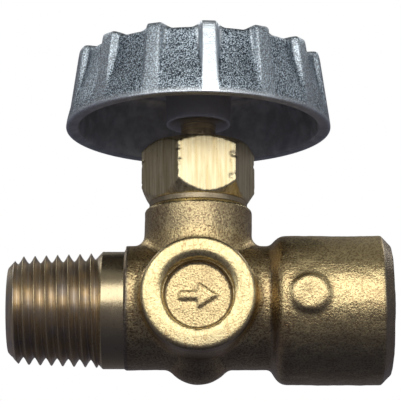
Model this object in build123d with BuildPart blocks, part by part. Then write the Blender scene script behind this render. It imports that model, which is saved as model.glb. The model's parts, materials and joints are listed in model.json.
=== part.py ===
from build123d import *
import math
import os

# Inline propane control valve, closed.
# Millimetres. +X runs along the flow from the male inlet to the female outlet, +Z up the stem,
# and the front of the casting faces -Y.
# The origin is on the flow axis, at the hand-tight plane of the male pipe thread.

# ---- pipe threads, 1/4-18 taper -------------------------------------------------------------
THREAD_PITCH = 25.4 / 18
TAPER = 1 / 32                      # rise of the radius per unit of length
CREST_WIDTH = 0.12
ROOT_WIDTH = 0.06
FLANK_ANGLE = 30                    # degrees, each flank from the normal of the axis
HAND_TIGHT_LENGTH = 5.79
MALE_THREAD_LENGTH = 11.8
MALE_CREST_R = 6.81                 # at the hand-tight plane
MALE_NOSE_R = 5.35
MALE_NOSE_LENGTH = 1.2
FEMALE_THREAD_LENGTH = 12.0
FEMALE_CREST_R = 5.68               # at the mouth
FEMALE_MOUTH_R = 7.2
THREAD_DEPTH = (THREAD_PITCH - CREST_WIDTH - ROOT_WIDTH) / 2 / math.tan(math.radians(FLANK_ANGLE))

# ---- forged body ----------------------------------------------------------------------------
STEM_X = 17.96                      # stem axis from the hand-tight plane
SHANK_R = 7.35
SHANK_LENGTH = 2.9
BARREL_R = 7.8
BARREL_LIFT = 0.3                   # the forging sits this much high of its machined ends
FLARE_FROM_STEM = 8.63
FLARE_LENGTH = 1.7
SOCKET_R = 9.35
SOCKET_END_FROM_STEM = 24.1
SOCKET_CHAMFER = 1.3
NECK_WALL = 1.75                    # from the bonnet thread to the outside
NECK_TOP_Z = 13.15
NECK_CHAMFER = 0.6
FRONT_BOSS_R = 7.07
FRONT_BOSS_FACE = 11.2              # distance of the boss face from the flow axis
FRONT_BOSS_ROUND = 1.1
RECESS_R = 4.35
RECESS_FLOOR_R = 4.1
RECESS_DEPTH = 1.8
ARROW_LENGTH = 4.6
ARROW_HEIGHT = 0.35
REAR_BOSS_R = 6.0
REAR_BOSS_FACE = 8.9
REAR_BOSS_ROUND = 0.5
DOME_R = 4.6
DOME_BOTTOM_Z = -9.4
BUTTON_R = 2.35
BUTTON_FROM_STEM = 13.7
BUTTON_Z = 0.35
BUTTON_FACE = 9.75
FORGED_BLEND = 1.4

# ---- flow passages --------------------------------------------------------------------------
INLET_BORE_R = 2.8
INLET_BORE_WALL = 15.2              # bore end from the stem axis
INLET_PORT_R = 2.0
INLET_PORT_PAST_STEM = 1.6
FLOOR_Z = 3.2
SEAT_LIP_HEIGHT = 0.4
SEAT_LIP_R = 2.1
ORIFICE_R = 1.3
CHAMBER_R = 3.9
CHAMBER_TOP_Z = 6.2
OUTLET_PORT_R = 1.25
OUTLET_PORT_Z = 4.0
DRILL_POINT = 59                    # degrees, half of the drill's point angle

# ---- stem train -----------------------------------------------------------------------------
RUNNING = 0.05                      # radial clearance of what turns or slides
THREAD_PLAY = 0.05                  # radial clearance of a screwed joint
END_PLAY = 0.05
TRAVEL = 2.0                        # lift of the lower stem, two turns of a 1 mm pitch
LOWER_STEM_R = 3.55
STEM_HEADROOM = 1.0                 # left above the lower stem when it is fully up
FOOT_R = 3.1
FOOT_HEIGHT = 1.7
SEAT_DISC_R = 2.4
SEAT_DISC_THICKNESS = 1.4
SEAT_DISC_PROUD = 0.7
TANG_WIDTH = 5.0
TANG_THICKNESS = 2.2
TANG_ENGAGEMENT = 2.6
SLOT_PLAY = 0.06
COLLAR_RISE = 1.5
COLLAR_THICKNESS = 1.1
THRUST_WASHER_THICKNESS = 0.6
JOURNAL_R = 2.6
STEM_R = 2.2
ORING_WIDTH = 1.0
ORING_GROOVE_WIDTH = 1.1
ORING_GROOVE_DEPTH = 0.95
ORING_LAND = 0.55
SQUARE_AF = 3.1
SQUARE_SHORT = 0.4                  # the square stops this far under the washer
SQUARE_PLAY = 0.04

# ---- bonnet ---------------------------------------------------------------------------------
GASKET_THICKNESS = 0.6
HEX_AF = 12.7
HEX_TURN = 10                       # degrees about the stem
HEX_HEIGHT = 7.55
HEX_TOP_R = 6.2
HEX_TOP_CHAMFER = 1.0
HEX_BOTTOM_CHAMFER = 1.75
BONNET_SKIRT_WALL = 0.8
SKIRT_LENGTH = 4.5
SKIRT_TO_FLOOR = 0.2
BONNET_LIP = 1.0
RING_THICKNESS = 0.5
RING_GROOVE_DEPTH = 0.4
RING_WIDTH = 1.4
RING_GAP = 2.0
RING_PLAY = 0.05
RING_TO_COLLAR = 0.2
RING_ABOVE_GASKET = 0.25

# ---- handwheel ------------------------------------------------------------------------------
HUB_R = 4.2
STEM_SHOWING = 2.7                  # between the bonnet and the hub
RIM_BELOW_HUB = 0.5
LIP_R = 16.95
LIP_HEIGHT = 2.4
CREST_R = 16.65                     # rib crests at the middle of the lip
CREST_DRAFT = 0.155                 # fall of the crest radius per millimetre of height
RIB_RISE = 0.55
RIB_WIDTH = 1.7
RIB_COUNT = 14
RIB_TURN = -85                      # degrees about the stem, the first rib
WHEEL_HEIGHT = 9.6
WHEEL_TOP_ROUND = 1.5
SKIRT_WALL = 1.3
PLATE_THICKNESS = 1.7
WELL_R = 6.4
WELL_DEPTH = 2.1
WELL_WALL = 1.5

# ---- handwheel screw ------------------------------------------------------------------------
SCREW_R = 1.5
SCREW_LENGTH = 6.0
SCREW_HEAD_R = 2.8
SCREW_HEAD_HEIGHT = 1.7
SCREW_SLOT_WIDTH = 0.8
SCREW_SLOT_DEPTH = 0.8
SCREW_HOLE_PLAY = 0.2
LOCK_WASHER_R = 2.7
LOCK_WASHER_THICKNESS = 0.7
LOCK_WASHER_GAP = 0.5

# ---- places worked out from the sizes --------------------------------------------------------
MALE_END_X = -HAND_TIGHT_LENGTH
MALE_THREAD_END_X = MALE_END_X + MALE_THREAD_LENGTH
SHANK_END_X = MALE_THREAD_END_X + SHANK_LENGTH
FLARE_X = STEM_X + FLARE_FROM_STEM
SOCKET_X = FLARE_X + FLARE_LENGTH
FEMALE_END_X = STEM_X + SOCKET_END_FROM_STEM
FEMALE_BOTTOM_X = FEMALE_END_X - FEMALE_THREAD_LENGTH
FEMALE_BOTTOM_R = FEMALE_CREST_R - TAPER * FEMALE_THREAD_LENGTH

JOURNAL_BORE_R = JOURNAL_R + RUNNING
COLLAR_R = JOURNAL_R + COLLAR_RISE
COUNTERBORE_R = COLLAR_R + 2 * RUNNING
SKIRT_R = COUNTERBORE_R + BONNET_SKIRT_WALL
NECK_BORE_R = SKIRT_R + THREAD_PLAY
NECK_R = NECK_BORE_R + NECK_WALL
GASKET_R = NECK_R - NECK_CHAMFER
RING_GROOVE_R = COUNTERBORE_R + RING_GROOVE_DEPTH
RING_INNER_R = RING_GROOVE_R - RING_WIDTH
STEM_BORE_R = LOWER_STEM_R + RUNNING
ORING_INNER_R = JOURNAL_R - ORING_GROOVE_DEPTH
ORING_OUTER_R = JOURNAL_R + RUNNING / 2

SEAT_Z = FLOOR_Z + SEAT_LIP_HEIGHT
HEX_BOTTOM_Z = NECK_TOP_Z + GASKET_THICKNESS
HEX_TOP_Z = HEX_BOTTOM_Z + HEX_HEIGHT
SKIRT_BOTTOM_Z = HEX_BOTTOM_Z - SKIRT_LENGTH
NECK_BORE_BOTTOM_Z = SKIRT_BOTTOM_Z - SKIRT_TO_FLOOR
RING_BOTTOM_Z = HEX_BOTTOM_Z + RING_ABOVE_GASKET
COLLAR_BOTTOM_Z = RING_BOTTOM_Z + RING_THICKNESS + RING_TO_COLLAR
COLLAR_TOP_Z = COLLAR_BOTTOM_Z + COLLAR_THICKNESS
THRUST_WASHER_BOTTOM_Z = COLLAR_TOP_Z + END_PLAY
BONNET_SHOULDER_Z = THRUST_WASHER_BOTTOM_Z + THRUST_WASHER_THICKNESS
JOURNAL_TOP_Z = HEX_TOP_Z - BONNET_LIP - 3 * END_PLAY
LOWER_GROOVE_Z = BONNET_SHOULDER_Z + ORING_LAND
UPPER_GROOVE_Z = LOWER_GROOVE_Z + ORING_GROOVE_WIDTH + ORING_LAND

SEAT_DISC_TOP_Z = SEAT_Z + SEAT_DISC_THICKNESS
FOOT_BOTTOM_Z = SEAT_Z + SEAT_DISC_PROUD
FOOT_TOP_Z = FOOT_BOTTOM_Z + FOOT_HEIGHT
LOWER_STEM_TOP_Z = RING_BOTTOM_Z - STEM_HEADROOM - TRAVEL
TANG_BOTTOM_Z = LOWER_STEM_TOP_Z - TANG_ENGAGEMENT
SLOT_FLOOR_Z = TANG_BOTTOM_Z - TRAVEL - 2 * SLOT_PLAY

HUB_BOTTOM_Z = HEX_TOP_Z + STEM_SHOWING
RIM_BOTTOM_Z = HUB_BOTTOM_Z - RIM_BELOW_HUB
LIP_MIDDLE_Z = RIM_BOTTOM_Z + LIP_HEIGHT / 2
WHEEL_TOP_Z = RIM_BOTTOM_Z + WHEEL_HEIGHT
WELL_FLOOR_Z = WHEEL_TOP_Z - WELL_DEPTH
SQUARE_TOP_Z = WELL_FLOOR_Z - SQUARE_SHORT
LOCK_WASHER_TOP_Z = WELL_FLOOR_Z + LOCK_WASHER_THICKNESS

STEM_AXIS = Axis((STEM_X, 0, 0), (0, 0, 1))


def section(turn=0):
    """The upright plane through the stem axis, its x side turned about the stem by that many degrees."""
    c = math.cos(math.radians(turn))
    s = math.sin(math.radians(turn))
    return Plane(origin=(STEM_X, 0, 0), x_dir=(c, s, 0), z_dir=(s, -c, 0))


def level(z):
    """The horizontal plane at height z, centred on the stem."""
    return Plane(origin=(STEM_X, 0, z), x_dir=(1, 0, 0), z_dir=(0, 0, 1))


def crest_radius(z):
    """Radius of the handwheel's rib crests at height z."""
    return CREST_R - CREST_DRAFT * (z - LIP_MIDDLE_Z)


def thread_outline(start_x, length, crest_r, depth):
    """Corners of a row of V grooves along X, crest to crest; a negative depth cuts outwards."""
    flank = (THREAD_PITCH - CREST_WIDTH - ROOT_WIDTH) / 2
    corners = []
    for turn in range(int(length / THREAD_PITCH)):
        x = start_x + turn * THREAD_PITCH
        r = crest_r(x + CREST_WIDTH / 2)
        corners.append((x, r))
        corners.append((x + CREST_WIDTH, r))
        corners.append((x + CREST_WIDTH + flank, r - depth))
        corners.append((x + CREST_WIDTH + flank + ROOT_WIDTH, r - depth))
    return corners


def male_crest(x):
    """Crest radius of the male thread; it grows towards the shank."""
    return MALE_CREST_R + TAPER * x


def female_crest(x):
    """Crest radius of the female thread; it shrinks towards the bottom."""
    return FEMALE_CREST_R - TAPER * (FEMALE_END_X - x)


def is_crossing(edge):
    """True for a curve where two round parts of the forging meet, short of the flare."""
    meets = edge.geom_type not in (GeomType.CIRCLE, GeomType.LINE)
    return meets and abs(edge.center().X - STEM_X) < FLARE_FROM_STEM


# ---- valve body -------------------------------------------------------------------------------
nose_end_x = MALE_END_X + MALE_NOSE_LENGTH
male_corners = thread_outline(nose_end_x, MALE_THREAD_END_X - nose_end_x, male_crest, THREAD_DEPTH)
flare_middle = (FLARE_X + FLARE_LENGTH / 2, (SHANK_R + SOCKET_R) / 2)
female_grooves = int((FEMALE_THREAD_LENGTH - SOCKET_CHAMFER) / THREAD_PITCH) * THREAD_PITCH
female_start_x = FEMALE_END_X - SOCKET_CHAMFER - female_grooves
female_corners = thread_outline(female_start_x, female_grooves + 0.01, female_crest, -THREAD_DEPTH)
drill_depth = FEMALE_BOTTOM_R / math.tan(math.radians(DRILL_POINT))
port_point = INLET_PORT_R / math.tan(math.radians(DRILL_POINT))

with BuildPart() as valve_body:
    with BuildSketch(Plane.XZ):
        with BuildLine():
            Polyline([
                (MALE_END_X, 0), (MALE_END_X, MALE_NOSE_R), *male_corners,
                (MALE_THREAD_END_X, male_crest(MALE_THREAD_END_X)), (MALE_THREAD_END_X, SHANK_R),
                (FLARE_X, SHANK_R),
            ])
            concave = TangentArc((FLARE_X, SHANK_R), flare_middle, tangent=(1, 0))
            TangentArc(flare_middle, (SOCKET_X, SOCKET_R), tangent=concave % 1)
            Polyline([
                (SOCKET_X, SOCKET_R), (FEMALE_END_X - SOCKET_CHAMFER, SOCKET_R),
                (FEMALE_END_X, SOCKET_R - SOCKET_CHAMFER), (FEMALE_END_X, 0), (MALE_END_X, 0),
            ])
        make_face()
    revolve(axis=Axis.X)

    # barrel
    with BuildSketch(Plane.YZ.offset(SHANK_END_X)):
        with Locations((0, BARREL_LIFT)):
            Circle(BARREL_R)
    extrude(amount=SOCKET_X - SHANK_END_X)

    # neck
    with BuildSketch(level(0)):
        Circle(NECK_R)
    extrude(amount=NECK_TOP_Z)
    neck_rim = valve_body.edges().filter_by(GeomType.CIRCLE).sort_by(Axis.Z)[-1]
    chamfer(neck_rim, NECK_CHAMFER)

    # front boss: a rounded ring round a drafted recess
    with BuildSketch(section()):
        Circle(FRONT_BOSS_R)
    extrude(amount=FRONT_BOSS_FACE)
    boss_rim = valve_body.edges().filter_by(GeomType.CIRCLE).sort_by(Axis.Y)[0]
    fillet(boss_rim, FRONT_BOSS_ROUND)

    # dome under the barrel
    with BuildSketch(section()):
        with BuildLine():
            Line((0, DOME_BOTTOM_Z), (0, DOME_BOTTOM_Z + DOME_R))
            Line((0, DOME_BOTTOM_Z + DOME_R), (DOME_R, DOME_BOTTOM_Z + DOME_R))
            RadiusArc((DOME_R, DOME_BOTTOM_Z + DOME_R), (0, DOME_BOTTOM_Z), DOME_R)
        make_face()
    revolve(axis=STEM_AXIS)

    # the neck, boss and dome run softly into the barrel and into each other
    crossings = valve_body.edges().filter_by(is_crossing)
    fillet(crossings, FORGED_BLEND)

    # rear boss, lower than the front one
    with BuildSketch(section()):
        Circle(REAR_BOSS_R)
    extrude(amount=-REAR_BOSS_FACE)
    rear_rim = valve_body.edges().filter_by(GeomType.CIRCLE).sort_by(Axis.Y)[-1]
    fillet(rear_rim, REAR_BOSS_ROUND)

    # round button on the front of the socket
    with BuildSketch(section()):
        with Locations((BUTTON_FROM_STEM, BUTTON_Z)):
            Circle(BUTTON_R)
    extrude(amount=BUTTON_FACE)

    # recess of the front boss, with a raised flow arrow on its floor
    with BuildSketch(section().offset(FRONT_BOSS_FACE)):
        Circle(RECESS_R)
    recess_draft = math.degrees(math.atan((RECESS_R - RECESS_FLOOR_R) / RECESS_DEPTH))
    extrude(amount=-RECESS_DEPTH, taper=recess_draft, mode=Mode.SUBTRACT)
    with BuildSketch(section().offset(FRONT_BOSS_FACE - RECESS_DEPTH)):
        with BuildLine():
            Polyline([
                (-ARROW_LENGTH / 2, ARROW_LENGTH / 10), (0, ARROW_LENGTH / 10), (0, ARROW_LENGTH / 3),
                (ARROW_LENGTH / 2, 0), (0, -ARROW_LENGTH / 3), (0, -ARROW_LENGTH / 10),
                (-ARROW_LENGTH / 2, -ARROW_LENGTH / 10), (-ARROW_LENGTH / 2, ARROW_LENGTH / 10),
            ])
        make_face()
    extrude(amount=ARROW_HEIGHT)

    # inlet bore and the narrower port that ends under the seat
    inlet_end_x = STEM_X - INLET_BORE_WALL + INLET_BORE_R
    port_end_x = STEM_X + INLET_PORT_PAST_STEM
    with BuildSketch(Plane.XZ):
        with BuildLine():
            Polyline([
                (MALE_END_X, 0), (MALE_END_X, INLET_BORE_R), (inlet_end_x, INLET_BORE_R),
                (inlet_end_x, INLET_PORT_R), (port_end_x - port_point, INLET_PORT_R),
                (port_end_x, 0), (MALE_END_X, 0),
            ])
        make_face()
    revolve(axis=Axis.X, mode=Mode.SUBTRACT)

    # female thread and its drilled bottom
    with BuildSketch(Plane.XZ):
        with BuildLine():
            Polyline([
                (FEMALE_BOTTOM_X - drill_depth, 0), (FEMALE_BOTTOM_X, FEMALE_BOTTOM_R),
                (female_start_x, FEMALE_BOTTOM_R), *female_corners,
                (FEMALE_END_X - SOCKET_CHAMFER, female_crest(FEMALE_END_X - SOCKET_CHAMFER)),
                (FEMALE_END_X, FEMALE_MOUTH_R), (FEMALE_END_X, 0),
                (FEMALE_BOTTOM_X - drill_depth, 0),
            ])
        make_face()
    revolve(axis=Axis.X, mode=Mode.SUBTRACT)

    # stepped bore down the stem axis, with the raised seat left standing on its floor
    with BuildSketch(section()):
        with BuildLine():
            Polyline([
                (0, 0), (ORIFICE_R, 0), (ORIFICE_R, SEAT_Z), (SEAT_LIP_R, SEAT_Z),
                (SEAT_LIP_R, FLOOR_Z), (CHAMBER_R, FLOOR_Z), (CHAMBER_R, CHAMBER_TOP_Z),
                (STEM_BORE_R, CHAMBER_TOP_Z), (STEM_BORE_R, NECK_BORE_BOTTOM_Z),
                (NECK_BORE_R, NECK_BORE_BOTTOM_Z), (NECK_BORE_R, NECK_TOP_Z), (0, NECK_TOP_Z), (0, 0),
            ])
        make_face()
    revolve(axis=STEM_AXIS, mode=Mode.SUBTRACT)

    # outlet port from the chamber to the female bore
    outlet_start_x = STEM_X + CHAMBER_R - OUTLET_PORT_R
    with BuildSketch(Plane.YZ.offset(outlet_start_x)):
        with Locations((0, OUTLET_PORT_Z)):
            Circle(OUTLET_PORT_R)
    extrude(amount=FEMALE_BOTTOM_X - outlet_start_x, mode=Mode.SUBTRACT)

# ---- bonnet -----------------------------------------------------------------------------------
corner_r = HEX_AF / 2 / math.cos(math.radians(30))
with BuildPart() as bonnet:
    with BuildSketch(level(HEX_BOTTOM_Z)):
        RegularPolygon(HEX_AF / 2, 6, major_radius=False, rotation=HEX_TURN)
    extrude(amount=HEX_HEIGHT)
    with BuildSketch(section()):
        with BuildLine():
            Polyline([
                (0, HEX_BOTTOM_Z), (GASKET_R, HEX_BOTTOM_Z), (corner_r, HEX_BOTTOM_Z + HEX_BOTTOM_CHAMFER),
                (corner_r, HEX_TOP_Z - HEX_TOP_CHAMFER), (HEX_TOP_R, HEX_TOP_Z), (0, HEX_TOP_Z),
                (0, HEX_BOTTOM_Z),
            ])
        make_face()
    revolve(axis=STEM_AXIS, mode=Mode.INTERSECT)
    with BuildSketch(level(HEX_BOTTOM_Z)):
        Circle(SKIRT_R)
    extrude(amount=-SKIRT_LENGTH)
    ring_top_z = RING_BOTTOM_Z + RING_THICKNESS
    with BuildSketch(section()):
        with BuildLine():
            Polyline([
                (0, SKIRT_BOTTOM_Z), (COUNTERBORE_R, SKIRT_BOTTOM_Z), (COUNTERBORE_R, RING_BOTTOM_Z),
                (RING_GROOVE_R + RING_PLAY, RING_BOTTOM_Z), (RING_GROOVE_R + RING_PLAY, ring_top_z),
                (COUNTERBORE_R, ring_top_z), (COUNTERBORE_R, BONNET_SHOULDER_Z),
                (JOURNAL_BORE_R, BONNET_SHOULDER_Z), (JOURNAL_BORE_R, HEX_TOP_Z - BONNET_LIP),
                (STEM_R + RUNNING, HEX_TOP_Z - BONNET_LIP), (STEM_R + RUNNING, HEX_TOP_Z),
                (0, HEX_TOP_Z), (0, SKIRT_BOTTOM_Z),
            ])
        make_face()
    revolve(axis=STEM_AXIS, mode=Mode.SUBTRACT)

with BuildPart() as bonnet_gasket:
    with BuildSketch(level(NECK_TOP_Z)):
        Circle(GASKET_R)
        Circle(NECK_BORE_R, mode=Mode.SUBTRACT)
    extrude(amount=GASKET_THICKNESS)

with BuildPart() as retaining_ring:
    with BuildSketch(level(RING_BOTTOM_Z)):
        Circle(RING_GROOVE_R)
        Circle(RING_INNER_R, mode=Mode.SUBTRACT)
        with Locations((0, (RING_GROOVE_R + RING_INNER_R) / 2)):
            Rectangle(RING_GAP, RING_GROOVE_R, mode=Mode.SUBTRACT)
    extrude(amount=RING_THICKNESS)

with BuildPart() as thrust_washer:
    with BuildSketch(level(THRUST_WASHER_BOTTOM_Z)):
        Circle(COLLAR_R)
        Circle(JOURNAL_R + 2 * RUNNING, mode=Mode.SUBTRACT)
    extrude(amount=THRUST_WASHER_THICKNESS)

# ---- upper stem -------------------------------------------------------------------------------
with BuildPart() as upper_stem:
    with BuildSketch(section()):
        with BuildLine():
            Polyline([
                (0, COLLAR_BOTTOM_Z), (COLLAR_R, COLLAR_BOTTOM_Z), (COLLAR_R, COLLAR_TOP_Z),
                (JOURNAL_R, COLLAR_TOP_Z), (JOURNAL_R, LOWER_GROOVE_Z), (ORING_INNER_R, LOWER_GROOVE_Z),
                (ORING_INNER_R, LOWER_GROOVE_Z + ORING_GROOVE_WIDTH),
                (JOURNAL_R, LOWER_GROOVE_Z + ORING_GROOVE_WIDTH), (JOURNAL_R, UPPER_GROOVE_Z),
                (ORING_INNER_R, UPPER_GROOVE_Z), (ORING_INNER_R, UPPER_GROOVE_Z + ORING_GROOVE_WIDTH),
                (JOURNAL_R, UPPER_GROOVE_Z + ORING_GROOVE_WIDTH), (JOURNAL_R, JOURNAL_TOP_Z),
                (STEM_R, JOURNAL_TOP_Z), (STEM_R, HUB_BOTTOM_Z), (0, HUB_BOTTOM_Z), (0, COLLAR_BOTTOM_Z),
            ])
        make_face()
    revolve(axis=STEM_AXIS)
    with BuildSketch(level(HUB_BOTTOM_Z)):
        Rectangle(SQUARE_AF, SQUARE_AF)
    extrude(amount=SQUARE_TOP_Z - HUB_BOTTOM_Z)
    with BuildSketch(level(TANG_BOTTOM_Z)):
        Rectangle(TANG_WIDTH, TANG_THICKNESS)
    extrude(amount=COLLAR_BOTTOM_Z - TANG_BOTTOM_Z)
    with BuildSketch(level(SQUARE_TOP_Z)):
        Circle(SCREW_R + THREAD_PLAY)
    extrude(amount=-SCREW_LENGTH, mode=Mode.SUBTRACT)

rings = {}
for name, groove_z in (("stem_oring_lower", LOWER_GROOVE_Z), ("stem_oring_upper", UPPER_GROOVE_Z)):
    with BuildPart() as oring:
        ring_z = groove_z + ORING_GROOVE_WIDTH / 2
        with BuildSketch(section()):
            with Locations(((ORING_INNER_R + ORING_OUTER_R) / 2, ring_z)):
                RectangleRounded(ORING_OUTER_R - ORING_INNER_R, ORING_WIDTH, 0.4 * ORING_WIDTH)
        revolve(axis=STEM_AXIS)
    rings[name] = oring

# ---- lower stem and its seat disc -----------------------------------------------------------------
with BuildPart() as lower_stem:
    with BuildSketch(section()):
        with BuildLine():
            Polyline([
                (0, SEAT_DISC_TOP_Z), (SEAT_DISC_R, SEAT_DISC_TOP_Z), (SEAT_DISC_R, FOOT_BOTTOM_Z),
                (FOOT_R, FOOT_BOTTOM_Z), (FOOT_R, FOOT_TOP_Z), (LOWER_STEM_R, FOOT_TOP_Z),
                (LOWER_STEM_R, LOWER_STEM_TOP_Z), (0, LOWER_STEM_TOP_Z), (0, SEAT_DISC_TOP_Z),
            ])
        make_face()
    revolve(axis=STEM_AXIS)
    with BuildSketch(level(LOWER_STEM_TOP_Z)):
        Rectangle(TANG_WIDTH + 2 * SLOT_PLAY, TANG_THICKNESS + 2 * SLOT_PLAY)
    extrude(amount=SLOT_FLOOR_Z - LOWER_STEM_TOP_Z, mode=Mode.SUBTRACT)

with BuildPart() as seat_disc:
    with BuildSketch(level(SEAT_Z)):
        Circle(SEAT_DISC_R)
    extrude(amount=SEAT_DISC_THICKNESS)

# ---- handwheel --------------------------------------------------------------------------------
panel_bottom_z = RIM_BOTTOM_Z + LIP_HEIGHT
panel_top_z = WHEEL_TOP_Z - WHEEL_TOP_ROUND
panel_bottom_r = crest_radius(panel_bottom_z) - RIB_RISE
panel_top_r = crest_radius(panel_top_z) - RIB_RISE
rib_root_r = panel_top_r - WHEEL_TOP_ROUND
plate_bottom_z = WHEEL_TOP_Z - PLATE_THICKNESS
well_under_z = WELL_FLOOR_Z - PLATE_THICKNESS
with BuildPart() as handwheel:
    with BuildSketch(section()):
        with BuildLine():
            lip_start = (LIP_R - LIP_HEIGHT / 4, RIM_BOTTOM_Z)
            lip_end = (panel_bottom_r, panel_bottom_z)
            ThreePointArc(lip_start, (LIP_R, LIP_MIDDLE_Z), lip_end)
            Line(lip_end, (panel_top_r, panel_top_z))
            TangentArc((panel_top_r, panel_top_z), (rib_root_r, WHEEL_TOP_Z), tangent=(0, 1))
            Polyline([
                (rib_root_r, WHEEL_TOP_Z), (WELL_R, WHEEL_TOP_Z), (WELL_R, WELL_FLOOR_Z),
                (0, WELL_FLOOR_Z), (0, HUB_BOTTOM_Z), (HUB_R, HUB_BOTTOM_Z), (HUB_R, well_under_z),
                (WELL_R + WELL_WALL, well_under_z), (WELL_R + WELL_WALL, plate_bottom_z),
                (panel_top_r - SKIRT_WALL, plate_bottom_z), (panel_bottom_r - SKIRT_WALL, RIM_BOTTOM_Z),
                lip_start,
            ])
        make_face()
    revolve(axis=STEM_AXIS)
    with BuildSketch(*[section(RIB_TURN + 360 / RIB_COUNT * rib) for rib in range(RIB_COUNT)]):
        with BuildLine():
            crest_top = (crest_radius(panel_top_z), panel_top_z)
            Polyline([
                (rib_root_r, WHEEL_TOP_Z), (rib_root_r, plate_bottom_z),
                (panel_bottom_r - SKIRT_WALL / 2, LIP_MIDDLE_Z), (CREST_R, LIP_MIDDLE_Z), crest_top,
            ])
            TangentArc(crest_top, (rib_root_r, WHEEL_TOP_Z), tangent=(-CREST_DRAFT, 1))
        make_face()
    extrude(amount=RIB_WIDTH / 2, both=True)
    with BuildSketch(level(HUB_BOTTOM_Z)):
        Rectangle(SQUARE_AF + 2 * SQUARE_PLAY, SQUARE_AF + 2 * SQUARE_PLAY)
    extrude(amount=WELL_FLOOR_Z - HUB_BOTTOM_Z, mode=Mode.SUBTRACT)

# ---- screw that holds the handwheel ---------------------------------------------------------------
with BuildPart() as lock_washer:
    with BuildSketch(level(WELL_FLOOR_Z)):
        Circle(LOCK_WASHER_R)
        Circle(SCREW_R + SCREW_HOLE_PLAY, mode=Mode.SUBTRACT)
        with Locations((0, LOCK_WASHER_R)):
            Rectangle(LOCK_WASHER_GAP, LOCK_WASHER_R, mode=Mode.SUBTRACT)
    extrude(amount=LOCK_WASHER_THICKNESS)

with BuildPart() as handwheel_screw:
    with BuildSketch(level(LOCK_WASHER_TOP_Z)):
        Circle(SCREW_HEAD_R)
    extrude(amount=SCREW_HEAD_HEIGHT)
    head_rim = handwheel_screw.edges().filter_by(GeomType.CIRCLE).sort_by(Axis.Z)[-1]
    fillet(head_rim, SCREW_HEAD_HEIGHT / 2)
    with BuildSketch(level(LOCK_WASHER_TOP_Z + SCREW_HEAD_HEIGHT)):
        Rectangle(2 * SCREW_HEAD_R, SCREW_SLOT_WIDTH)
    extrude(amount=-SCREW_SLOT_DEPTH, mode=Mode.SUBTRACT)
    with BuildSketch(level(LOCK_WASHER_TOP_Z)):
        Circle(SCREW_R)
    extrude(amount=-SCREW_LENGTH)

# ---- names and files --------------------------------------------------------------------------------
pieces = {
    "valve_body": valve_body, "bonnet": bonnet, "bonnet_gasket": bonnet_gasket,
    "stem_retaining_ring": retaining_ring, "thrust_washer": thrust_washer, "upper_stem": upper_stem,
    "lower_stem": lower_stem, "seat_disc": seat_disc, "handwheel": handwheel,
    "lock_washer": lock_washer, "handwheel_screw": handwheel_screw, **rings,
}
os.makedirs("parts", exist_ok=True)
for name, piece in pieces.items():
    piece.part.label = name
    export_step(piece.part, f"parts/{name}.step")
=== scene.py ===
import json
import math

import bmesh
import bpy
import numpy as np
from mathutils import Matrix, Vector, noise


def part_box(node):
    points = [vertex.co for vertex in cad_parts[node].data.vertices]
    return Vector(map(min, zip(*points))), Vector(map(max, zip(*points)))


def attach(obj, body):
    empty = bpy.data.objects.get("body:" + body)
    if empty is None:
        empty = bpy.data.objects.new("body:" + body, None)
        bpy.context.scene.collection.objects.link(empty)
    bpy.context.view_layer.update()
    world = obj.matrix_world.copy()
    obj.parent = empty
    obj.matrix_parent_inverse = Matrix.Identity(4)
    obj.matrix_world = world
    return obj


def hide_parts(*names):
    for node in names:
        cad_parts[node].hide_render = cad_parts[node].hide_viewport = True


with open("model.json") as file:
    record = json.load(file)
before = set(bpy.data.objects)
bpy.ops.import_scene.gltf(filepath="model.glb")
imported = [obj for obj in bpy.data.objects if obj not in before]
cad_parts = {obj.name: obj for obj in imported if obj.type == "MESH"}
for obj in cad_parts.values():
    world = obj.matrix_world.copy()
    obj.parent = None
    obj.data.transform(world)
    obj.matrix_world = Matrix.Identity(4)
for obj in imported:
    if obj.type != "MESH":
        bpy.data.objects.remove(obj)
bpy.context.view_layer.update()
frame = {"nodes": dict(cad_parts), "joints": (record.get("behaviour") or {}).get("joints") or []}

# The looks of an inline gas valve, closed. Meshes are worked out in millimetres, in the CAD frame:
# +X runs along the flow, +Z up the stem and -Y out of the front boss.
MM = 0.001

nodes = frame["nodes"]
stem_x = next(j for j in frame["joints"] if j["name"] == "handwheel_turn")["pos_m"][0] / MM


def box_mm(node):
    """Lowest and highest corner of a CAD node, in millimetres."""
    low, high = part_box(node)
    return Vector(low) / MM, Vector(high) / MM


body_low, body_high = box_mm("valve_body")
bonnet_low, bonnet_high = box_mm("bonnet")
gasket_low = box_mm("bonnet_gasket")[0]
wheel_low, wheel_high = box_mm("handwheel")

# Sizes of the body, in millimetres, that more than one part of the script needs.
THREAD_LENGTH = 11.8
SHANK_LENGTH = 3.0
BOSS_FACE = -11.2  # the front boss's face, in y
RECESS_DEPTH = 1.8
BARREL_END = 8.6  # where the flare to the socket begins, in x from the stem
TINY = 1e-3  # keeps a division away from zero


# ---- scene ------------------------------------------------------------------------------------
def add_camera():
    """A long lens a little below the valve, looking slightly up at its front."""
    distance = 278.0
    rise = math.radians(-14.2)
    target = Vector((stem_x + 0.28, 0, 14.24))
    back = Vector((0, -math.cos(rise), math.sin(rise)))
    data = bpy.data.cameras.new("camera")
    data.lens = 196.3
    data.sensor_width = 36
    data.clip_start = 0.01
    data.clip_end = 10
    camera = bpy.data.objects.new("camera", data)
    camera.location = (target + back * distance) * MM
    camera.rotation_mode = "QUATERNION"
    camera.rotation_quaternion = (-back).to_track_quat("-Z", "Y")
    bpy.context.scene.collection.objects.link(camera)
    bpy.context.scene.camera = camera


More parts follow.
